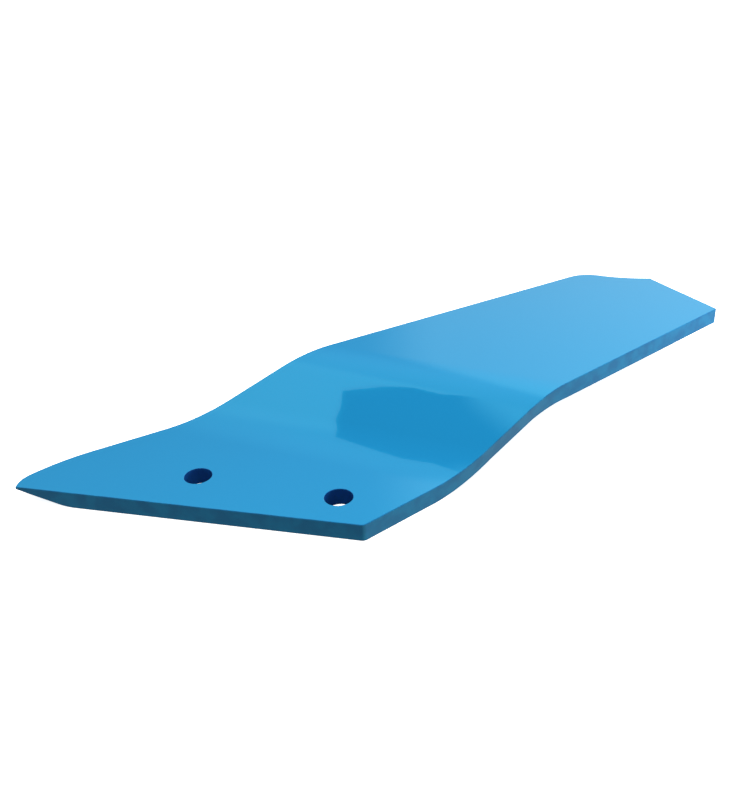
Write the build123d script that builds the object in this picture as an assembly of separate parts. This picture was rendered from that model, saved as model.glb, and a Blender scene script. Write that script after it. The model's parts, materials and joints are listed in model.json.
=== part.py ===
from build123d import *
import math
import os

# Wing share of a soil-working implement: one piece of steel plate, cut to outline, drawn down to a cutting
# edge and pressed into a joggle, so that the bolted foot and the raised wing lie in parallel planes.
# Blank sizes are taken on the top face of the flat plate, before it is pressed. In the blank, X runs along
# the rear edge from the corner between rear edge and front cut, and Y runs towards the cutting edge.
# The finished share has its origin between its bolt holes, on the underside of the foot, with the same X.
# All lengths are in millimetres and all angles in degrees.

# Plate
plate_thickness = 8.5
rear_length = 254.0
corner_width = 129.0
edge_sweep = 9.8
front_cut_angle = 36.8

# Nose, where the cutting edge curves back to the front cut
nose_length = 51.5
nose_side_radius = 110.0
nose_side_turn = 16.4
nose_tip_radius = 13.0

# Outer end of the wing
end_cut_angle = 12.5
end_cut_length = 54.0
wing_corner_setback = 8.5
wing_corner_radius = 18.0
relief_radius = 80.0

# Joggle: two bends with parallel, skewed bend lines and equal and opposite turns
bend_skew = 26.0
bend_turn = 24.5
lower_bend_at = 58.5
lower_bend_radius = 70.0
upper_bend_at = 117.0
upper_bend_radius = 55.0

# Cutting bevel, on the underside
edge_land = 1.5
bevel_angle = 16.0
bevel_nose_radius = 60.0
bevel_knee_radius = 30.0

# Bolt holes
hole_diameter = 13.0
hole_pitch = 70.0
hole_line_angle = 32.5
first_hole_along = 5.0
first_hole_in = 24.0

# Rounded arrises and corners
arris_radius = 0.4
foot_corner_radius = 2.0
end_corner_radius = 1.0

# Cross-sections that carry the blank through each bend, and room that a cutting body has past the plate
bend_sections = 7
clear = 2.0
reach = 2 * (rear_length + corner_width)


def heading(angle):
    """Unit vector in the plane of the blank, at an angle from X."""
    return Vector(math.cos(math.radians(angle)), math.sin(math.radians(angle)), 0)


# Directions in the blank
up = Vector(0, 0, 1)
along_front = heading(90 + front_cut_angle)
along_edge = heading(-edge_sweep)
off_edge = heading(90 - edge_sweep)
along_bend = heading(90 + bend_skew)
across_bend = heading(bend_skew)

# Corners and holes of the blank
rear_front = Vector(0, 0, 0)
rear_end = Vector(rear_length, 0, 0)
end_front = rear_end + heading(90 - end_cut_angle) * end_cut_length
first_hole = Vector(first_hole_along, first_hole_in, 0)
second_hole = first_hole + heading(90 + hole_line_angle) * hole_pitch

# Distances across the bend lines at which each bend starts and ends
bend_turn_rad = math.radians(bend_turn)
lower_middle = lower_bend_at * math.cos(math.radians(bend_skew))
upper_middle = upper_bend_at * math.cos(math.radians(bend_skew))
lower_start = lower_middle - lower_bend_radius * bend_turn_rad / 2
lower_end = lower_middle + lower_bend_radius * bend_turn_rad / 2
upper_start = upper_middle - upper_bend_radius * bend_turn_rad / 2
upper_end = upper_middle + upper_bend_radius * bend_turn_rad / 2


def on_edge_line(x):
    """Point of the straight cutting edge's line at a distance along the rear edge."""
    return Vector(x, corner_width - x * math.tan(math.radians(edge_sweep)), 0)


def virtual_nose():
    """Where the lines of the cutting edge and of the front cut would meet."""
    fall = math.tan(math.radians(edge_sweep))
    lean = math.tan(math.radians(front_cut_angle))
    return on_edge_line(-corner_width * lean / (1 - fall * lean))


def blank_outline():
    """Outline of the flat blank, with the rounded nose and the relieved outer end."""
    nose_start = virtual_nose() + along_edge * nose_length
    quarter_turn = 90
    side = JernArc(nose_start, -along_edge, nose_side_radius, nose_side_turn)
    tip = JernArc(side @ 1, side % 1, nose_tip_radius, quarter_turn)
    below_tip = Vector((tip @ 1).X, 0, 0)
    wing_corner = on_edge_line(rear_length - wing_corner_setback)
    outline = Wire([
        side,
        tip,
        Line(tip @ 1, below_tip),
        Line(below_tip, rear_end),
        Line(rear_end, end_front),
        RadiusArc(wing_corner, end_front, -relief_radius),
        Line(wing_corner, nose_start),
    ])
    front_side = Plane(origin=rear_front, x_dir=along_front, z_dir=up)
    beyond_front = front_side.location * Rectangle(reach, reach, align=(Align.CENTER, Align.MIN))
    blank = Sketch() + Face(outline) - beyond_front
    blank = fillet(blank.vertices().sort_by_distance(wing_corner)[0], wing_corner_radius)
    blank = fillet(blank.vertices().sort_by_distance(rear_end)[0], end_corner_radius)
    return fillet(blank.vertices().sort_by_distance(rear_front)[0], foot_corner_radius)


def edge_profile(inward):
    """Cross-section at the cutting edge, X off the edge and Y up: bevel, land and a soft knee underneath."""
    rise = math.tan(math.radians(bevel_angle))
    knee = (-(plate_thickness - edge_land) / rise, -plate_thickness)
    profile = Polygon(
        (clear, clear),
        (-inward, clear),
        (-inward, -plate_thickness),
        knee,
        (clear, rise * clear - edge_land),
        align=None,
    )
    return fillet(profile.vertices().sort_by_distance(knee)[0], bevel_knee_radius)


def edge_body(front_tip):
    """The edge's cross-section carried straight along it, then turned about the nose to the tip."""
    inset = (virtual_nose() - front_tip).dot(off_edge)
    turn = math.acos(1 - inset / bevel_nose_radius)
    turn_start = front_tip + off_edge * inset + along_edge * bevel_nose_radius * math.sin(turn)
    cross = Plane(origin=turn_start, x_dir=off_edge, z_dir=along_edge)
    pivot = Axis(turn_start - off_edge * bevel_nose_radius, up)
    half_as_far_again = 1.5 * math.degrees(turn)
    straight = extrude(cross.location * edge_profile(reach), reach)
    return straight + revolve(cross.location * edge_profile(bevel_nose_radius), pivot, half_as_far_again)


def softened_plate(outline):
    """Plate of even thickness, its arrises rounded along the rear edge and both end cuts."""
    plate = extrude(outline, -plate_thickness)
    rear_arrises = plate.edges().filter_by(Axis.X).filter_by_position(Axis.Y, 0, 0)
    return fillet(rear_arrises, arris_radius)


def flat_blank():
    """The plate before it is pressed: cut to outline, bevelled from below and drilled."""
    outline = blank_outline()
    front_tip = outline.vertices().sort_by(Axis(rear_front, along_front))[-1].center()
    blank = softened_plate(outline) & edge_body(front_tip)
    hole = Cylinder(hole_diameter / 2, plate_thickness, align=(Align.CENTER, Align.CENTER, Align.MAX))
    for centre in (first_hole, second_hole):
        blank -= Pos(*centre) * hole
    return blank


def flat_frame(station):
    """Frame on the blank's top face: X along the bend lines, Z across them."""
    return Plane(origin=across_bend * station, x_dir=along_bend, z_dir=across_bend)


def pressed_frame(station):
    """The same frame after pressing: the top face runs flat, up, straight, down and flat again."""
    stretches = (
        (lower_start, 0.0),
        (lower_end, 1 / lower_bend_radius),
        (upper_start, 0.0),
        (upper_end, -1 / upper_bend_radius),
        (reach, 0.0),
    )
    run, height, slope, done = 0.0, 0.0, 0.0, 0.0
    for end, curvature in stretches:
        length = max(min(station, end) - done, 0.0)
        turn = curvature * length
        chord = 2 * math.sin(turn / 2) / curvature if curvature else length
        run += chord * math.cos(slope + turn / 2)
        height += chord * math.sin(slope + turn / 2)
        slope += turn
        done += length
    forward = across_bend * math.cos(slope) + up * math.sin(slope)
    return Plane(origin=across_bend * run + up * height, x_dir=along_bend, z_dir=forward)


def carried(piece, station):
    """A piece of the flat blank, moved with the plate as it is at a station."""
    return pressed_frame(station).location * flat_frame(station).location.inverse() * piece


def flat_zone(blank, start, end):
    """Stretch of the blank between two stations that stays flat."""
    strip = Box(reach, reach, end - start, align=(Align.CENTER, Align.CENTER, Align.MIN))
    return blank & (flat_frame(start).location * strip)


def bend_zone(blank, start, end):
    """Stretch of the blank that is rolled, carried through the bend section by section."""
    step = (end - start) / (bend_sections - 1)
    stations = [start + step * i for i in range(bend_sections)]
    return loft([carried(section(blank, section_by=flat_frame(s)), s) for s in stations])


def wing_share():
    """The pressed share, with its origin between the bolt holes on the underside of the foot."""
    blank = flat_blank()
    foot = flat_zone(blank, -reach / 2, lower_start)
    ramp = carried(flat_zone(blank, lower_end, upper_start), lower_end)
    wing = carried(flat_zone(blank, upper_end, reach / 2), upper_end)
    lower_bend = bend_zone(blank, lower_start, lower_end)
    upper_bend = bend_zone(blank, upper_start, upper_end)
    share = foot + lower_bend + ramp + upper_bend + wing
    between_holes = (first_hole + second_hole) / 2 - up * plate_thickness
    return Pos(*-between_holes) * share


def main():
    os.makedirs("parts", exist_ok=True)
    export_step(wing_share(), "parts/wing_share.step")


if __name__ == "__main__":
    main()
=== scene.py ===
"""Looks of a wing share: one pressed steel plate under glossy sky-blue enamel, on a pale studio floor.

Lengths are metres and angles radians unless a name says otherwise. The flat blank lies in its own plane: X
runs along the rear edge from the foot's corner, Y towards the cutting edge, and its top face is at height 0.
"""

import json
import math

import bpy
import numpy as np
from mathutils import Matrix, Vector
from mathutils.geometry import delaunay_2d_cdt


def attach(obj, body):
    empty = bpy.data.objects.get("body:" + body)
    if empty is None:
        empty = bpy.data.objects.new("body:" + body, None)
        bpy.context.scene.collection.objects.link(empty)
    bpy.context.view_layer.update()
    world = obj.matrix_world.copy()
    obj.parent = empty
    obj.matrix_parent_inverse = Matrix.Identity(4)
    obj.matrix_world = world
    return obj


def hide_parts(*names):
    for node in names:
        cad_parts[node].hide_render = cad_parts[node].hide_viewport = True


bl_info = {
    "name": "Wing share",
    "version": (1, 0, 0),
    "blender": (4, 5, 0),
    "location": "View3D > Sidebar > Wing share",
    "description": "Builds a painted, joggled wing share and the studio around it",
    "category": "Add Mesh",
}

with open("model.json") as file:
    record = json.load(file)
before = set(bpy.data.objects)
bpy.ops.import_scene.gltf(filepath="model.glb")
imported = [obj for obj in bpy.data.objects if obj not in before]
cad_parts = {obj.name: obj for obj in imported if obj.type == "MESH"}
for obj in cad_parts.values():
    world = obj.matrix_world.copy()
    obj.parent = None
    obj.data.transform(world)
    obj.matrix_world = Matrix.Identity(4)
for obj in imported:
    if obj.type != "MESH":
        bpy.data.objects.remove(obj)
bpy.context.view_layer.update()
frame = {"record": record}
mounts = {mount["name"]: mount for mount in frame["record"]["mounts"]}
MM = 0.001
NODE = "wing_share"

# Fineness of the mesh: steps along the outline, points of the grid inside it and how near they come to the
# outline, as a part of their pitch, and rings of an arris
OUTLINE_STEP = 1.2 * MM
TURN_STEP = math.radians(6)
GRID_PITCH = 2.0 * MM
GRID_CLEARANCE = 0.6
ARRIS_RINGS = 5

# Turn, as a sine, from which two stretches of the outline meet in a sharp corner
SHARP_TURN = 0.2

# Rim attribute of the mesh; the enamel paints shade on the rim and a shadow along its lower lip
BROAD_FACE, RIM, LIP_SHADOW_RING = 0.0, 1.0, 2.0

# Sizes of the enamel's waves and of what it shows besides, and the share that each smaller wave has in them
LONG_WAVE, SHORT_WAVE, RIPPLE = 22 * MM, 7 * MM, 2.5 * MM
SHORT_SHARE, RIPPLE_SHARE = 0.35, 0.10
PEEL, CLOUD, STREAK = 1.6 * MM, 60 * MM, 9 * MM

# Width of the camera's sensor in millimetres, and plain colours of the stage
SENSOR_WIDTH = 36.0
BLACK = (0.0, 0.0, 0.0, 1.0)
WHITE = (1.0, 1.0, 1.0, 1.0)


def length(name, millimetres, description):
    """A length property, given in millimetres and kept in metres."""
    return bpy.props.FloatProperty(
        name=name, description=description, default=millimetres * MM, min=0.0, precision=5, subtype="DISTANCE"
    )


def angle(name, degrees, description):
    """An angle property, given in degrees and kept in radians."""
    return bpy.props.FloatProperty(
        name=name, description=description, default=math.radians(degrees), subtype="ANGLE"
    )


def number(name, value, description, most=1.0):
    """A plain number from 0 to 1, or to the most given."""
    return bpy.props.FloatProperty(name=name, description=description, default=value, min=0.0, max=most)


def colour(name, value, description):
    """A colour, in linear red, green and blue."""
    return bpy.props.FloatVectorProperty(
        name=name, description=description, default=value, size=3, min=0.0, max=1.0, subtype="COLOR"
    )


def point(name, metres, description):
    """A point of the studio, in metres."""
    return bpy.props.FloatVectorProperty(
        name=name, description=description, default=metres, size=3, precision=5, subtype="TRANSLATION"
    )


class PlateSizes(bpy.types.PropertyGroup):
    """Sizes of the flat blank, of its two bends and of its edges."""

    rear_length: length("Rear length", 254.0, "Rear edge, from the front cut to the end cut")
    corner_width: length("Corner width", 129.0, "From the foot's corner to the cutting edge's line")
    edge_sweep: angle("Edge sweep", 9.8, "How far the cutting edge runs in towards the rear edge")
    front_cut_angle: angle("Front cut", 36.8, "Lean of the front cut from square")
    nose_length: length("Nose length", 51.5, "Start of the nose's curve, from the sharp corner it replaces")
    nose_side_radius: length("Nose side radius", 110.0, "Radius of the long curve of the nose")
    nose_side_turn: angle("Nose side turn", 16.4, "Turn of the long curve of the nose")
    nose_tip_radius: length("Nose tip radius", 13.0, "Radius of the short curve at the tip")
    end_cut_angle: angle("End cut", 12.5, "Lean of the end cut from square")
    end_cut_length: length("End cut length", 54.0, "Straight part of the wing's outer end")
    wing_corner_setback: length("Wing corner setback", 8.5, "Wing corner, back from the rear edge's end")
    wing_corner_radius: length("Wing corner radius", 18.0, "Round between cutting edge and relieved end")
    relief_radius: length("Relief radius", 80.0, "Hollow of the relieved outer end")
    bend_skew: angle("Bend skew", 26.0, "Turn of the bend lines from square")
    bend_turn: angle("Bend turn", 24.5, "Turn of each bend")
    lower_bend_at: length("Lower bend", 58.5, "Middle of the lower bend along the rear edge")
    lower_bend_radius: length("Lower bend radius", 70.0, "Radius at the top face")
    upper_bend_at: length("Upper bend", 117.0, "Middle of the upper bend along the rear edge")
    upper_bend_radius: length("Upper bend radius", 55.0, "Radius at the top face")
    edge_land: length("Edge land", 1.5, "Thickness left at the cutting edge")
    bevel_angle: angle("Bevel", 16.0, "Slope of the bevel under the cutting edge")
    bevel_nose_radius: length("Bevel nose radius", 60.0, "Radius that the bevel turns by at the nose")
    bevel_knee_radius: length("Bevel knee radius", 30.0, "Round between underside and bevel")
    first_hole_along: length("First hole along", 5.0, "Rear bolt hole, along the rear edge")
    first_hole_in: length("First hole in", 24.0, "Rear bolt hole, in from the rear edge")
    foot_corner_radius: length("Foot corner radius", 3.0, "Corner between front cut and rear edge")
    end_corner_radius: length("End corner radius", 1.0, "Corner between rear edge and end cut")
    cut_arris: length("Cut arris", 0.4, "Rounded arrises of the rear edge, front cut and end cut")
    edge_arris: length("Edge arris", 0.3, "Rounded arrises of the cutting edge and of the relieved end")
    hole_arris: length("Hole arris", 0.3, "Rounded arrises of the bolt holes")


class PaintLook(bpy.types.PropertyGroup):
    """Colours and gloss of the enamel, and its painted shade on the cut faces, in the bolt holes and at the
    lower lip.
    """

    blue: colour("Blue", (0.014, 0.270, 0.570), "Enamel by diffuse light")
    # Painted shade of the cut faces: a darker blue, in streaks like thin enamel
    cut_blue: colour("Cut blue", (0.012, 0.055, 0.26), "Enamel where it is thin on the cut faces")
    cut_shade: number("Cut shade", 0.55, "How much of the cut blue shows on the cut faces")
    # Painted shadow: a dark line along the lower lip of the cut faces
    lip: colour("Lip", (0.035, 0.035, 0.045), "Grime on the lower lip of the cut faces")
    lip_shade: number("Lip shade", 0.7, "How much of the grime shows")
    # Painted shade in the bolt holes: their walls turn a darker blue
    bore_blue: colour("Bore blue", (0.012, 0.065, 0.40), "Enamel deep in the bolt holes")
    bore_shade: number("Bore shade", 0.66, "How much of the bore blue shows in the bolt holes")
    sheen: colour("Sheen", (0.0, 0.85, 1.0), "Tint of what the pigment reflects")
    film_index: number("Film index", 2.3, "Refractive index of the pigmented film", 3.0)
    film_roughness: number("Film roughness", 0.10, "Roughness of the pigmented film")
    gloss: number("Gloss", 0.44, "Strength of the clear, glossy top")
    gloss_index: number("Gloss index", 1.75, "Refractive index of the glossy top", 3.0)
    gloss_roughness: number("Gloss roughness", 0.02, "Roughness of the glossy top")
    wave_height: length("Wave height", 0.042, "Height of the film's long waves")
    peel_height: length("Peel height", 0.002, "Height of the film's fine peel")


class StudioLook(bpy.types.PropertyGroup):
    """Floor, light and camera."""

    floor_colour: colour("Floor", (0.90, 0.90, 0.90), "Pale floor")
    floor_glow: number("Floor glow", 0.90, "Light of its own that keeps shadows on the floor faint")
    floor_size: length("Floor size", 8000.0, "Side of the square floor")
    tent: number("Tent", 0.19, "Soft tent ahead of the camera")
    tent_right: number("Tent, right", 0.34, "Added to the right of the share")
    tent_far_right: number("Tent, far right", 0.20, "Added once more farther to the right")
    tent_high: number("Tent, high", 0.28, "Added high up")
    tent_left: number("Tent, high left", 0.22, "Added once more high on the left")
    tent_edge: number("Tent, edge", 0.15, "Past the tent's edge on the right")
    behind: number("Behind", 0.12, "Tent behind the camera")
    ground: number("Ground", 0.19, "Below the horizon")
    ground_right: number("Ground, right", 0.22, "Added below the horizon on the right")
    key_watts: number("Key", 8.4, "Softbox overhead, in watts", 1000.0)
    key_size: length("Key size", 500.0, "Side of the softbox")
    key_place: point("Key place", (0.36, -0.10, 0.95), "Where the softbox hangs")
    key_aim: point("Key aim", (0.14, 0.0, 0.0), "What the softbox points at")
    fill_watts: number("Fill", 0.85, "Low lamp on the right, in watts", 1000.0)
    fill_place: point("Fill place", (0.38, -0.22, 0.03), "Where the low lamp stands")
    fill_aim: point("Fill aim", (0.24, -0.05, 0.02), "What the low lamp points at")
    side_watts: number("Side", 3.0, "High lamp on the left, in watts", 1000.0)
    side_place: point("Side place", (-0.30, -0.20, 0.85), "Where the high lamp hangs")
    side_aim: point("Side aim", (0.0, 0.0, 0.0), "What the high lamp points at")
    fill_size: length("Fill size", 250.0, "Side of the low lamp and of the high lamp")
    flag_height: length("Flag height", 100.5, "Dark card above the ramp, seen only as a reflection")
    lens_mm: number("Lens", 42.40, "Focal length in millimetres, for a 36 mm wide sensor", 500.0)
    camera_place: point("Camera place", (-0.17858, -0.31408, 0.24787), "Where the camera stands")


# Outline of the flat blank


def heading(turn):
    """Unit vector at an angle from X: (cos a, sin a)."""
    return np.array([math.cos(turn), math.sin(turn)])


def left_of(direction):
    """The direction turned a quarter to the left."""
    return np.array([-direction[1], direction[0]])


def arc_run(centre, radius, first, last):
    """Round stretch of outline: centre + radius * (cos a, sin a), with a from first to last.

    Walked to the left it bulges out, and walked to the right it is hollow, so its normals turn round.
    """
    by_turn = math.ceil(abs(last - first) / TURN_STEP)
    by_length = math.ceil(abs(last - first) * radius / OUTLINE_STEP)
    turns = np.linspace(first, last, max(2, by_turn, by_length) + 1)
    spokes = np.column_stack([np.cos(turns), np.sin(turns)])
    return centre + radius * spokes, spokes * np.sign(last - first)


def straight_run(start, end):
    """Straight stretch of outline: start + t * (end - start), its normal to the right of the walk."""
    reach = end - start
    distance = np.linalg.norm(reach)
    steps = max(1, round(distance / OUTLINE_STEP))
    t = np.linspace(0, 1, steps + 1)[:, None]
    return start + t * reach, np.tile(-left_of(reach / distance), (steps + 1, 1))


def corner_run(corner, arriving, leaving, radius):
    """Rounded corner between two straight stretches, given by their headings."""
    setback = radius * math.tan((leaving - arriving) / 2)
    centre = corner - heading(arriving) * setback + left_of(heading(arriving)) * radius
    return arc_run(centre, radius, arriving - math.pi / 2, leaving - math.pi / 2)


def outward_angle(direction):
    """Angle of a vector from X, from 0 to a whole turn."""
    return math.atan2(direction[1], direction[0]) % math.tau


def edge_line(sizes, along):
    """Point of the straight cutting edge's line: (x, width - x * tan sweep)."""
    return np.array([along, sizes.corner_width - along * math.tan(sizes.edge_sweep)])


def virtual_nose(sizes):
    """Where the lines of the cutting edge and of the front cut would meet."""
    fall = math.tan(sizes.edge_sweep)
    lean = math.tan(sizes.front_cut_angle)
    return edge_line(sizes, -sizes.corner_width * lean / (1 - fall * lean))


def nose_runs(sizes):
    """The long and the short curve of the nose, up to the front cut."""
    off_edge = math.pi / 2 - sizes.edge_sweep
    front_normal = math.pi + sizes.front_cut_angle
    start = virtual_nose(sizes) + heading(-sizes.edge_sweep) * sizes.nose_length
    side_centre = start - heading(off_edge) * sizes.nose_side_radius
    side_end = off_edge + sizes.nose_side_turn
    tip_centre = side_centre + heading(side_end) * (sizes.nose_side_radius - sizes.nose_tip_radius)
    depth = -tip_centre @ heading(front_normal) / sizes.nose_tip_radius
    tip_end = front_normal - math.acos(depth)
    side = arc_run(side_centre, sizes.nose_side_radius, off_edge, side_end)
    return side, arc_run(tip_centre, sizes.nose_tip_radius, side_end, tip_end)


def relief_runs(sizes, end_front):
    """The hollow relief of the outer end, and the round that leads from it to the cutting edge.

    The round has its centre one radius inside the edge's line, and touches the hollow's circle from outside.
    """
    along_edge = heading(-sizes.edge_sweep)
    off_edge = heading(math.pi / 2 - sizes.edge_sweep)
    corner = edge_line(sizes, sizes.rear_length - sizes.wing_corner_setback)
    chord = corner - end_front
    half = np.linalg.norm(chord) / 2
    outward = -left_of(chord / (2 * half))
    hollow_centre = (corner + end_front) / 2 + outward * math.sqrt(sizes.relief_radius**2 - half**2)
    base = corner - off_edge * sizes.wing_corner_radius - hollow_centre
    span = sizes.relief_radius + sizes.wing_corner_radius
    across = base @ along_edge
    back = across + math.sqrt(across**2 - base @ base + span**2)
    round_centre = hollow_centre + base - along_edge * back
    to_round = outward_angle(round_centre - hollow_centre)
    start = outward_angle(end_front - hollow_centre)
    hollow = arc_run(hollow_centre, sizes.relief_radius, start, to_round)
    rounded = arc_run(round_centre, sizes.wing_corner_radius, to_round - math.pi, outward_angle(off_edge))
    return hollow, rounded


class Outline:
    """A closed outline of stretches, walked with the plate on the left.

    Stretch j runs from point j to point j + 1, with a normal at each of its two ends, so corners stay sharp.
    """

    def __init__(self, runs):
        self.points = np.concatenate([points[:-1] for points, _, _ in runs])
        self.normals_from = np.concatenate([normals[:-1] for _, normals, _ in runs])
        self.normals_to = np.concatenate([normals[1:] for _, normals, _ in runs])
        self.radii = np.concatenate([np.full(len(points) - 1, radius) for points, _, radius in runs])

    def inset(self):
        """How far each point moves in to lie one arris radius inside both of its stretches.

        Solves normal_before . move = radius_before and normal_after . move = radius_after.
        """
        before = np.roll(self.normals_to, 1, axis=0)
        after = self.normals_from
        radius_before = np.roll(self.radii, 1)
        cross = before[:, 0] * after[:, 1] - before[:, 1] * after[:, 0]
        sharp = np.abs(cross) > SHARP_TURN
        safe = np.where(sharp, cross, 1.0)
        x = (radius_before * after[:, 1] - self.radii * before[:, 1]) / safe
        y = (self.radii * before[:, 0] - radius_before * after[:, 0]) / safe
        mitred = np.column_stack([x, y])
        return np.where(sharp[:, None], mitred, after * self.radii[:, None])


def plate_outline(sizes):
    """Outline of the blank, from the foot's corner along the rear edge and round by the wing and the nose."""
    foot = np.zeros(2)
    rear_end = np.array([sizes.rear_length, 0.0])
    end_heading = math.pi / 2 - sizes.end_cut_angle
    front_heading = sizes.front_cut_angle - math.pi / 2
    end_front = rear_end + heading(end_heading) * sizes.end_cut_length
    foot_corner = corner_run(foot, front_heading, 0.0, sizes.foot_corner_radius)
    end_corner = corner_run(rear_end, 0.0, end_heading, sizes.end_corner_radius)
    hollow, rounded = relief_runs(sizes, end_front)
    side, tip = nose_runs(sizes)
    cut, edge = sizes.cut_arris, sizes.edge_arris
    return Outline([
        (*foot_corner, cut),
        (*straight_run(foot_corner[0][-1], end_corner[0][0]), cut),
        (*end_corner, cut),
        (*straight_run(end_corner[0][-1], end_front), cut),
        (*hollow, edge),
        (*rounded, edge),
        (*straight_run(rounded[0][-1], side[0][0]), edge),
        (*side, edge),
        (*tip, edge),
        (*straight_run(tip[0][-1], foot_corner[0][0]), cut),
    ])


def hole_outline(centre, radius, arris):
    """Outline of a bolt hole, walked the other way round, so that its normals point into the hole."""
    return Outline([(*arc_run(centre, radius, math.tau, 0.0), arris)])


# Underside of the flat blank


def edge_distance(sizes, points):
    """Distance of points in from the cutting edge, and the direction outwards.

    Along the straight edge it is measured square to it; past the nose it is the radius less the distance
    from the pivot of the bevel's curve.
    """
    along_edge = heading(-sizes.edge_sweep)
    off_edge = heading(math.pi / 2 - sizes.edge_sweep)
    tip = nose_runs(sizes)[1][0][-1]
    inset = (virtual_nose(sizes) - tip) @ off_edge
    turn = math.acos(1 - inset / sizes.bevel_nose_radius)
    turn_start = tip + off_edge * inset + along_edge * sizes.bevel_nose_radius * math.sin(turn)
    spokes = points - (turn_start - off_edge * sizes.bevel_nose_radius)
    lengths = np.linalg.norm(spokes, axis=1)
    curved = (points - turn_start) @ along_edge < 0
    distance = np.where(curved, sizes.bevel_nose_radius - lengths, (turn_start - points) @ off_edge)
    outward = np.where(curved[:, None], spokes / lengths[:, None], off_edge)
    return distance, outward


def underside(sizes, thickness, points):
    """Height of the underside at points of the blank, and its normals.

    The bevel falls from the land by distance * tan(bevel) until it meets the flat at the knee, where a
    circle touches both: height = radius - thickness - sqrt(radius^2 - (distance - centre)^2).
    """
    slope = math.tan(sizes.bevel_angle)
    radius = sizes.bevel_knee_radius
    centre = (thickness - sizes.edge_land) / slope + radius * math.tan(sizes.bevel_angle / 2)
    distance, outward = edge_distance(sizes, points)
    behind = np.clip(centre - distance, 0, radius * math.sin(sizes.bevel_angle))
    knee = radius - thickness - np.sqrt(radius**2 - behind**2)
    bevel = -sizes.edge_land - distance * slope
    on_bevel = centre - distance > radius * math.sin(sizes.bevel_angle)
    heights = np.where(on_bevel, bevel, knee)
    tilts = np.arcsin(behind / radius)
    normals = np.column_stack([outward * np.sin(tilts)[:, None], -np.cos(tilts)])
    return heights, normals


# Pressing


def pressed(sizes, points, normals):
    """Flat points and normals, carried into the joggle.

    Across the bend lines the top face runs flat, turns up on the lower bend's circle, runs straight, turns
    back on the upper bend's circle and runs flat again. Each point keeps its height square to that face.
    """
    turn = sizes.bend_turn
    lower, upper = sizes.lower_bend_radius, sizes.upper_bend_radius
    across = np.append(heading(sizes.bend_skew), 0.0)
    along = np.append(left_of(across[:2]), 0.0)
    up = np.array([0.0, 0.0, 1.0])
    lower_start = sizes.lower_bend_at * math.cos(sizes.bend_skew) - lower * turn / 2
    upper_start = sizes.upper_bend_at * math.cos(sizes.bend_skew) - upper * turn / 2
    station = points @ across
    climb = np.clip((station - lower_start) / lower, 0, turn)
    ramp = np.clip(station - lower_start - lower * turn, 0, upper_start - lower_start - lower * turn)
    fall = np.clip((station - upper_start) / upper, 0, turn)
    run = np.minimum(station, lower_start) + lower * np.sin(climb) + ramp * math.cos(turn)
    run += upper * (math.sin(turn) - np.sin(turn - fall))
    run += np.maximum(station - upper_start - upper * turn, 0)
    rise = lower * (1 - np.cos(climb)) + ramp * math.sin(turn)
    rise += upper * (np.cos(turn - fall) - math.cos(turn))
    slope = (climb - fall)[:, None]
    forward = across * np.cos(slope) + up * np.sin(slope)
    square = up * np.cos(slope) - across * np.sin(slope)
    middle = run[:, None] * across + rise[:, None] * up
    carried = middle + (points @ along)[:, None] * along + points[:, 2:] * square
    turned = (normals @ across)[:, None] * forward + (normals @ along)[:, None] * along
    return carried, turned + normals[:, 2:] * square


# Mesh of the plate


def inside(outline_points, points):
    """Which points lie inside a closed outline, by counting the edges that a ray to the right crosses."""
    start, end = outline_points, np.roll(outline_points, -1, axis=0)
    x, y = points[:, :1], points[:, 1:]
    straddles = (start[:, 1] > y) != (end[:, 1] > y)
    height = np.where(end[:, 1] == start[:, 1], 1.0, end[:, 1] - start[:, 1])
    crossing = start[:, 0] + (y - start[:, 1]) * (end[:, 0] - start[:, 0]) / height
    return (straddles & (x < crossing)).sum(axis=1) % 2 == 1


def plan_grid(sizes, loops):
    """Grid points of the blank, in rows along the bend lines, that keep clear of every loop."""
    across = heading(sizes.bend_skew)
    reach = 2 * sizes.rear_length
    steps = np.arange(-reach, reach, GRID_PITCH)
    station, along = np.meshgrid(steps, steps, indexing="ij")
    points = station.reshape(-1, 1) * across + along.reshape(-1, 1) * left_of(across)
    rim = np.concatenate(loops)
    near = np.all((points > rim.min(axis=0)) & (points < rim.max(axis=0)), axis=1)
    points = points[near]
    points = points[inside(loops[0], points)]
    for hole in loops[1:]:
        points = points[~inside(hole, points)]
    blocks = np.array_split(points, 20)
    gaps = np.concatenate([np.linalg.norm(block[:, None] - rim, axis=2).min(axis=1) for block in blocks])
    return points[gaps > GRID_CLEARANCE * GRID_PITCH]


def plan_triangles(sizes, loops):
    """Triangles that fill the blank between its outline and its holes, with every loop kept as edges."""
    rings = []
    first = 0
    for loop in loops:
        rings.append(list(range(first, first + len(loop))))
        first += len(loop)
    faces = [rings[0]] + [ring[::-1] for ring in rings[1:]]
    points = np.concatenate([*loops, plan_grid(sizes, loops)])
    whole_hull, nearness = 0, 1e-9
    result = delaunay_2d_cdt([Vector(p) for p in points.tolist()], [], faces, whole_hull, nearness, True)
    source = np.array([numbers[0] for numbers in result[3]])
    kept = [triangle for triangle, owners in zip(result[2], result[5]) if owners == [0]]
    return points, source[np.array(kept)]


class Shell:
    """Vertices, faces and face-corner normals of the flat plate, gathered before it is pressed."""

    def __init__(self):
        self.vertices, self.faces, self.normals, self.rims = [], [], [], []
        self.count = 0

    def add_vertices(self, points, heights, rim=BROAD_FACE):
        """Adds vertices, with the place of the rim that they belong to, and gives their numbers."""
        self.vertices.append(np.column_stack([points, np.broadcast_to(heights, len(points))]))
        self.rims.append(np.full(len(points), rim))
        self.count += len(points)
        return np.arange(self.count - len(points), self.count)

    def add_faces(self, faces, normals):
        """Adds faces, with a normal for each of their corners."""
        self.faces += faces.tolist()
        self.normals.append(normals.reshape(-1, 3))


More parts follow.
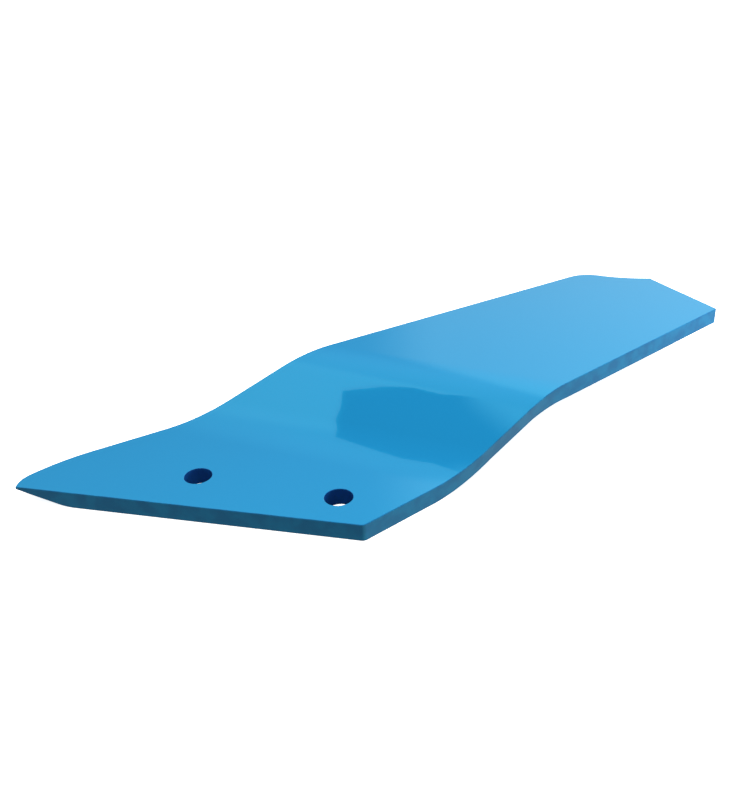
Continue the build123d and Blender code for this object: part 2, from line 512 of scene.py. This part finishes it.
def add_rim(shell, outline, sizes, thickness, top_numbers, bottom_numbers):
    """The rim under an outline: a profile of top arris, wall and bottom arris, carried round it.

    Arrises are quarter rounds: inset = radius * (1 - sin a) and depth = radius * (1 - cos a) at the top, and
    at the bottom the same round stretched to end on the underside.
    """
    move = outline.inset()
    radius = np.minimum(outline.radii, np.roll(outline.radii, 1))
    wall_bottom = underside(sizes, thickness, outline.points)[0] + radius
    inner, inner_normals = underside(sizes, thickness, outline.points - move)
    quarter = np.linspace(0, math.pi / 2, ARRIS_RINGS)
    rings, tilts = [top_numbers], [(0.0, 1.0, False)]
    for a in quarter[1:]:
        inset = outline.points - move * (1 - math.sin(a))
        rings.append(shell.add_vertices(inset, -radius * (1 - math.cos(a)), RIM))
        tilts.append((math.sin(a), math.cos(a), False))
    for a in quarter[:-1]:
        heights = wall_bottom + (inner - wall_bottom) * math.sin(a)
        inset = outline.points - move * (1 - math.cos(a))
        rings.append(shell.add_vertices(inset, heights, LIP_SHADOW_RING if a else RIM))
        tilts.append((math.cos(a), math.sin(a), True))
    rings.append(bottom_numbers)
    tilts.append((0.0, 1.0, True))
    for upper, lower, upper_tilt, lower_tilt in zip(rings, rings[1:], tilts, tilts[1:]):
        faces = np.column_stack([upper, lower, np.roll(lower, -1), np.roll(upper, -1)])
        corners = [
            rim_normals(outline.normals_from, upper_tilt, inner_normals),
            rim_normals(outline.normals_from, lower_tilt, inner_normals),
            rim_normals(outline.normals_to, lower_tilt, np.roll(inner_normals, -1, axis=0)),
            rim_normals(outline.normals_to, upper_tilt, np.roll(inner_normals, -1, axis=0)),
        ]
        shell.add_faces(faces, np.stack(corners, axis=1))


def rim_normals(outward, tilt, under_normals):
    """Normals of one ring: outward * wall share + (up, or the underside's normal) * face share."""
    wall_share, face_share, below = tilt
    face_normal = under_normals if below else np.array([0.0, 0.0, 1.0])
    normals = np.column_stack([outward, np.zeros(len(outward))]) * wall_share + face_normal * face_share
    return normals / np.linalg.norm(normals, axis=1)[:, None]


def plate_arrays(sizes):
    """Vertices, faces, corner normals and rim attribute of the pressed plate, in the part's own frame."""
    rear_bore, nose_bore = mounts["rear_bolt_hole"], mounts["nose_bolt_hole"]
    thickness = rear_bore["dims"]["length_mm"] * MM
    hole_radius = rear_bore["dims"]["r_mm"] * MM
    first_hole = np.array([sizes.first_hole_along, sizes.first_hole_in])
    blank_origin = np.array(rear_bore["pos_m"][:2]) - first_hole
    second_hole = np.array(nose_bore["pos_m"][:2]) - blank_origin
    outlines = [plate_outline(sizes)]
    outlines += [hole_outline(centre, hole_radius, sizes.hole_arris) for centre in (first_hole, second_hole)]
    loops = [outline.points - outline.inset() for outline in outlines]
    points, triangles = plan_triangles(sizes, loops)
    heights, under_normals = underside(sizes, thickness, points)
    shell = Shell()
    top = shell.add_vertices(points, 0.0)
    bottom = shell.add_vertices(points, heights)
    turned_over = triangles[:, ::-1]
    shell.add_faces(top[triangles], np.broadcast_to([0.0, 0.0, 1.0], (*triangles.shape, 3)))
    shell.add_faces(bottom[turned_over], under_normals[turned_over])
    first = 0
    for outline, loop in zip(outlines, loops):
        numbers = slice(first, first + len(loop))
        add_rim(shell, outline, sizes, thickness, top[numbers], bottom[numbers])
        first += len(loop)
    vertices = np.concatenate(shell.vertices)
    normals = np.concatenate(shell.normals)
    corner_vertices = np.concatenate([np.asarray(face) for face in shell.faces])
    carried, _ = pressed(sizes, vertices, np.zeros_like(vertices))
    _, turned = pressed(sizes, vertices[corner_vertices], normals)
    return carried + np.append(blank_origin, thickness), shell.faces, turned, np.concatenate(shell.rims)


def new_piece(name, vertices, faces, corner_normals):
    """A mesh object at the origin, shaded by its own corner normals."""
    mesh = bpy.data.meshes.new(name)
    mesh.from_pydata(vertices.tolist(), [], faces)
    mesh.polygons.foreach_set("use_smooth", np.ones(len(mesh.polygons), bool))
    mesh.normals_split_custom_set(corner_normals.tolist())
    mesh.update()
    piece = bpy.data.objects.new(name, mesh)
    bpy.context.scene.collection.objects.link(piece)
    return piece


# Shader maths


class Value:
    """A number that varies over a surface. Sums, products and the like on it add Math nodes."""

    def __init__(self, tree, socket):
        self.tree = tree
        self.socket = socket

    def maths(self, operation, *values):
        """The result of one Math node."""
        return self.tree.add("ShaderNodeMath", {"operation": operation}, *values)

    def power(self, exponent):
        """The value to a power."""
        return self.maths("POWER", self, exponent)

    def __add__(self, other):
        return self.maths("ADD", self, other)

    __radd__ = __add__

    def __sub__(self, other):
        return self.maths("SUBTRACT", self, other)

    def __rsub__(self, other):
        return self.maths("SUBTRACT", other, self)

    def __mul__(self, other):
        return self.maths("MULTIPLY", self, other)

    __rmul__ = __mul__

    def __truediv__(self, other):
        return self.maths("DIVIDE", self, other)

    def smooth(self, low, high):
        """0 below low, 1 above high and a smooth step between."""
        settings = {"interpolation_type": "SMOOTHSTEP"}
        return self.tree.add("ShaderNodeMapRange", settings, self, low, high)


class Tree:
    """The nodes of one material or world."""

    def __init__(self, owner):
        owner.use_nodes = True
        self.nodes = owner.node_tree.nodes
        self.links = owner.node_tree.links
        self.nodes.clear()

    def add(self, kind, settings=None, *values, output=0, **named):
        """Adds a node: settings first, then values or links for its sockets, by order or by name."""
        node = self.nodes.new(kind)
        for setting, value in (settings or {}).items():
            setattr(node, setting, value)
        sockets = list(zip([s for s in node.inputs if s.enabled], values))
        sockets += [(node.inputs[name.replace("_", " ")], value) for name, value in named.items()]
        for socket, value in sockets:
            if isinstance(value, Value):
                self.links.new(value.socket, socket)
            else:
                socket.default_value = value
        return Value(self, [s for s in node.outputs if s.enabled][output]) if node.outputs else node

    def parts(self, vector):
        """The three coordinates of a vector."""
        split = self.add("ShaderNodeSeparateXYZ", None, vector).socket.node
        return [Value(self, split.outputs[name]) for name in "XYZ"]

    def mix(self, amount, first, second):
        """Colour between two colours."""
        settings = {"data_type": "RGBA", "blend_type": "MIX"}
        return self.add("ShaderNodeMix", settings, amount, first, second)

    def noise(self, where, size, detail=2.0):
        """Soft noise from 0 to 1, with features of a given size."""
        return self.add("ShaderNodeTexNoise", None, where, 1 / size, detail)


def opaque(rgb):
    """A colour with its alpha."""
    return (*rgb, 1.0)


def in_bore(tree, where, mount):
    """1 within a bolt hole, 0 outside, by the distance from its axis: sqrt(x^2 + y^2)."""
    x, y = (part - centre for part, centre in zip(tree.parts(where)[:2], mount["pos_m"]))
    radius = mount["dims"]["r_mm"] * MM
    return 1 - (x * x + y * y).power(0.5).smooth(radius + 0.05 * MM, radius + 0.2 * MM)


def blue_enamel(look):
    """Glossy enamel on rolled plate: a pigmented film with long waves and fine peel under a hard gloss."""
    material = bpy.data.materials.new("blue_enamel")
    tree = Tree(material)
    where = tree.add("ShaderNodeTexCoord", None, output=3)
    waves = tree.noise(where, LONG_WAVE, 1.0) + SHORT_SHARE * tree.noise(where, SHORT_WAVE, 1.0)
    waves = waves + RIPPLE_SHARE * tree.noise(where, RIPPLE, 1.0)
    peel = tree.noise(where, PEEL, 2.0)
    cloud = 0.10 * tree.noise(where, CLOUD, 2.0).smooth(0.3, 0.7)
    cloudy_blue = [channel * 0.93 for channel in look.blue]
    film = tree.mix(cloud, opaque(look.blue), opaque(cloudy_blue))
    rim = tree.add("ShaderNodeAttribute", {"attribute_name": "rim"}, output=2)
    streaks = 0.5 + 0.5 * tree.noise(where, STREAK, 3.0).smooth(0.35, 0.65)
    # Painted shade: the cut faces turn to a darker blue, broken up in streaks like thin enamel
    thin = rim.maths("MINIMUM", rim, RIM) * look.cut_shade * streaks
    film = tree.mix(thin, film, opaque(look.cut_blue))
    # Painted shadow: the lower lip of the cut faces turns to a dark line
    film = tree.mix((rim - RIM) * look.lip_shade, film, opaque(look.lip))
    # Painted shade: the walls of the bolt holes turn to a darker blue
    for name in ("rear_bolt_hole", "nose_bolt_hole"):
        deep = look.bore_shade * in_bore(tree, where, mounts[name])
        film = tree.mix(deep, film, opaque(look.bore_blue))
    relief = tree.add("ShaderNodeBump", None, Strength=1.0, Distance=look.wave_height, Height=waves)
    skin = tree.add(
        "ShaderNodeBump", None, Strength=1.0, Distance=look.peel_height, Height=peel, Normal=relief
    )
    roughness = look.film_roughness + 0.04 * (peel - 0.5)
    surface = tree.add(
        "ShaderNodeBsdfPrincipled", None, Base_Color=film, Roughness=roughness, Normal=skin,
        IOR=look.film_index, Specular_Tint=opaque(look.sheen),
        Coat_Weight=look.gloss, Coat_IOR=look.gloss_index, Coat_Roughness=look.gloss_roughness,
    )
    tree.add("ShaderNodeOutputMaterial", None, surface)
    return material


def matt_floor(look):
    """Plain pale floor with a glow of its own, as a lit table has."""
    material = bpy.data.materials.new("pale_floor")
    tree = Tree(material)
    surface = tree.add(
        "ShaderNodeBsdfPrincipled", None, Base_Color=opaque(look.floor_colour), Roughness=0.9,
        Emission_Color=WHITE, Emission_Strength=look.floor_glow,
    )
    tree.add("ShaderNodeOutputMaterial", None, surface)
    return material


def black_card():
    """Flat black, with no gloss."""
    material = bpy.data.materials.new("black_card")
    tree = Tree(material)
    card = tree.add("ShaderNodeEmission", None, BLACK, 0.0)
    tree.add("ShaderNodeOutputMaterial", None, card)
    return material


def fading_card():
    """Flat black, thinned out towards the right, where the card is nearest to the rear of the share."""
    material = bpy.data.materials.new("fading_card")
    tree = Tree(material)
    where = tree.add("ShaderNodeTexCoord", None, output=3)
    x, y, _ = tree.parts(where)
    thin = x.smooth(94 * MM, 116 * MM) * (0 - y).smooth(-12 * MM, 8 * MM)
    card = tree.add("ShaderNodeEmission", None, BLACK, 0.0)
    clear = tree.add("ShaderNodeBsdfTransparent")
    surface = tree.add("ShaderNodeMixShader", None, thin, card, clear)
    tree.add("ShaderNodeOutputMaterial", None, surface)
    return material


# Stage


def light_tent(look):
    """A soft tent round the share: brighter to the right, high up and high on the left, dim behind.

    Side is the sine of the angle by which a direction lies to the right of straight ahead, which is 55
    degrees from X. Each mask goes smoothly from 0 to 1 between its two bounds.
    """
    world = bpy.data.worlds.new("light_tent")
    bpy.context.scene.world = world
    tree = Tree(world)
    x, y, z = tree.parts(tree.add("ShaderNodeTexCoord", None, output=0))
    straight_ahead = math.radians(55)
    side = (math.sin(straight_ahead) * x - math.cos(straight_ahead) * y) / (x * x + y * y).power(0.5)
    right, far_right, past_edge = side.smooth(0.03, 0.13), side.smooth(0.12, 0.45), side.smooth(0.60, 0.90)
    high_left = (0 - side).smooth(0.33, 0.55) * z.smooth(0.70, 0.85)
    high = z.smooth(0.42, 0.84)
    ahead = (0.87 * x + 0.50 * y).smooth(-0.35, 0.15)
    below_right = (0.6 * x - 0.8 * y).smooth(0.0, 0.6)
    above_ground = z.smooth(-0.08, 0.02)
    tent = look.tent + look.tent_right * right + look.tent_far_right * far_right
    tent = tent + look.tent_left * high_left + look.tent_high * high
    tent = tent + (look.tent_edge - tent) * past_edge
    tent = look.behind + (tent - look.behind) * ahead
    ground = look.ground + look.ground_right * below_right
    level = ground + (tent - ground) * above_ground
    glow = tree.add("ShaderNodeBackground", None, WHITE, level)
    tree.add("ShaderNodeOutputWorld", None, glow)


def sheet(name, corners, material):
    """A flat sheet of the stage."""
    mesh = bpy.data.meshes.new(name)
    mesh.from_pydata(corners, [], [tuple(range(len(corners)))])
    mesh.materials.append(material)
    piece = bpy.data.objects.new(name, mesh)
    bpy.context.scene.collection.objects.link(piece)
    return piece


def seat():
    """Dark card just under the foot, which keeps light from below out of the bolt holes."""
    corners_mm = [(-34.5, 33.7), (15.9, -45.5), (34.5, -33.7), (-15.9, 45.5)]
    piece = sheet("seat", [(x * MM, y * MM, -0.1 * MM) for x, y in corners_mm], black_card())
    piece.visible_camera = False


def floor(look):
    """Square floor that the foot rests on. The share is neither lit by it nor mirrors it."""
    half = look.floor_size / 2
    corners = [(-half, -half, 0), (half, -half, 0), (half, half, 0), (-half, half, 0)]
    piece = sheet("floor", corners, matt_floor(look))
    piece.visible_diffuse = False
    piece.visible_glossy = False
    piece.visible_shadow = False


def flag(look):
    """Dark card over the ramp. The enamel mirrors its edges, as it does the gap in a studio's tent."""
    left_mm = [(35, -60), (35, 55), (53.5, 60.5), (62, 66)]
    far_mm = [(70, 57), (81, 44.5), (91, 32.5)]
    right_mm = [(97, 15), (108, 3), (112, -6), (118, -30), (118, -60)]
    corners = [(x * MM, y * MM, look.flag_height) for x, y in (*left_mm, *far_mm, *right_mm)]
    piece = sheet("flag", corners, fading_card())
    piece.visible_camera = False
    piece.visible_diffuse = False
    piece.visible_shadow = False


def lamp(name, watts, size, place, aim):
    """Square lamp, turned from its place towards its aim. The enamel doesn't mirror it."""
    light = bpy.data.lights.new(name, "AREA")
    light.energy = watts
    light.size = size
    piece = bpy.data.objects.new(name, light)
    piece.location = place
    piece.rotation_euler = (Vector(aim) - piece.location).to_track_quat("-Z", "Y").to_euler()
    piece.visible_glossy = False
    bpy.context.scene.collection.objects.link(piece)


def studio_camera(look):
    """Camera at the photograph's place: in front of the foot, looking along the share from above."""
    lens = bpy.data.cameras.new("camera")
    lens.sensor_fit = "AUTO"
    lens.sensor_width = SENSOR_WIDTH
    lens.lens = look.lens_mm
    camera = bpy.data.objects.new("camera", lens)
    right = Vector((0.77645, -0.62804, -0.05188))
    up = Vector((0.33974, 0.34784, 0.87383))
    back = right.cross(up)
    turn = Matrix((right, up, back)).transposed()
    camera.matrix_world = Matrix.Translation(look.camera_place) @ turn.to_4x4()
    bpy.context.scene.collection.objects.link(camera)
    bpy.context.scene.camera = camera


# Operators and panel


class WINGSHARE_OT_plate(bpy.types.Operator):
    """Build the pressed plate in blue enamel"""

    bl_idname = "wingshare.plate"
    bl_label = "Pressed plate"

    def execute(self, context):
        vertices, faces, corner_normals, rims = plate_arrays(context.scene.plate_sizes)
        piece = new_piece("pressed_plate", vertices, faces, corner_normals)
        piece.data.attributes.new("rim", "FLOAT", "POINT").data.foreach_set("value", rims)
        piece.data.materials.append(blue_enamel(context.scene.paint_look))
        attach(piece, "root")
        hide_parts(NODE)
        return {"FINISHED"}


class WINGSHARE_OT_studio(bpy.types.Operator):
    """Set up the camera, the light tent, the lamps, the dark cards and the floor"""

    bl_idname = "wingshare.studio"
    bl_label = "Studio"

    def execute(self, context):
        look = context.scene.studio_look
        context.scene.view_settings.view_transform = "Standard"
        studio_camera(look)
        light_tent(look)
        lamp("softbox", look.key_watts, look.key_size, look.key_place, look.key_aim)
        lamp("fill", look.fill_watts, look.fill_size, look.fill_place, look.fill_aim)
        lamp("side", look.side_watts, look.fill_size, look.side_place, look.side_aim)
        flag(look)
        seat()
        floor(look)
        return {"FINISHED"}


class WINGSHARE_PT_panel(bpy.types.Panel):
    """Sizes, paint and studio of the wing share"""

    bl_idname = "WINGSHARE_PT_panel"
    bl_label = "Wing share"
    bl_space_type = "VIEW_3D"
    bl_region_type = "UI"
    bl_category = "Wing share"

    def draw(self, context):
        scene = context.scene
        for operator, groups in (
            ("wingshare.plate", (scene.plate_sizes, scene.paint_look)),
            ("wingshare.studio", (scene.studio_look,)),
        ):
            box = self.layout.box()
            box.operator(operator)
            for group in groups:
                for name in group.__annotations__:
                    box.prop(group, name)


GROUPS = {"plate_sizes": PlateSizes, "paint_look": PaintLook, "studio_look": StudioLook}
CLASSES = (*GROUPS.values(), WINGSHARE_OT_plate, WINGSHARE_OT_studio, WINGSHARE_PT_panel)


def register():
    """Registers the classes and hangs their settings on the scene."""
    for item in CLASSES:
        bpy.utils.register_class(item)
    for name, group in GROUPS.items():
        setattr(bpy.types.Scene, name, bpy.props.PointerProperty(type=group))


def unregister():
    """Takes the settings and the classes out again."""
    for name in GROUPS:
        delattr(bpy.types.Scene, name)
    for item in reversed(CLASSES):
        bpy.utils.unregister_class(item)


def main():
    """Builds the plate and the studio."""
    register()
    bpy.ops.wingshare.plate()
    bpy.ops.wingshare.studio()


if __name__ == "__main__":
    main()
